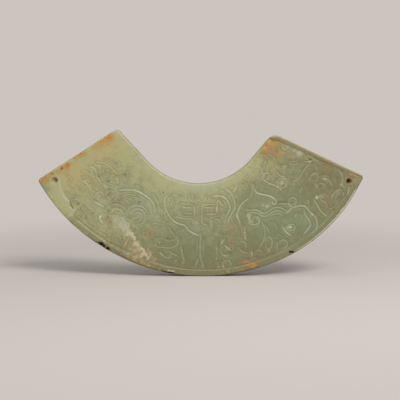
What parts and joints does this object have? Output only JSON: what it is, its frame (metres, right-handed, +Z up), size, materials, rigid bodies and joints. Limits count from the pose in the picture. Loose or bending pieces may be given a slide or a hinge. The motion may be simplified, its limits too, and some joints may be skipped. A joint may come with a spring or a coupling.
{
  "type": "jade arc pendant plaque",
  "caption": "Arc-shaped pendant plaque of pale green jade with a carved relief face, a flat back and a suspension hole at each end.",
  "frame": {"origin": "bottom centre of the bounding box, under the middle of the convex lower edge, with the plaque upright as it is displayed", "axes": "+X along the length to the plaque's right end, seen from the carved face; +Y from the carved face through the slab to the plain back; +Z up, from the convex edge to the concave edge"},
  "size_m": [0.1146, 0.005, 0.052],
  "materials": {
    "jade": "polished pale green nephrite with rust-brown skin along its edges"
  },
  "bodies": {
    "root": {"jade_plaque": "jade"}
  },
  "joints": []
}
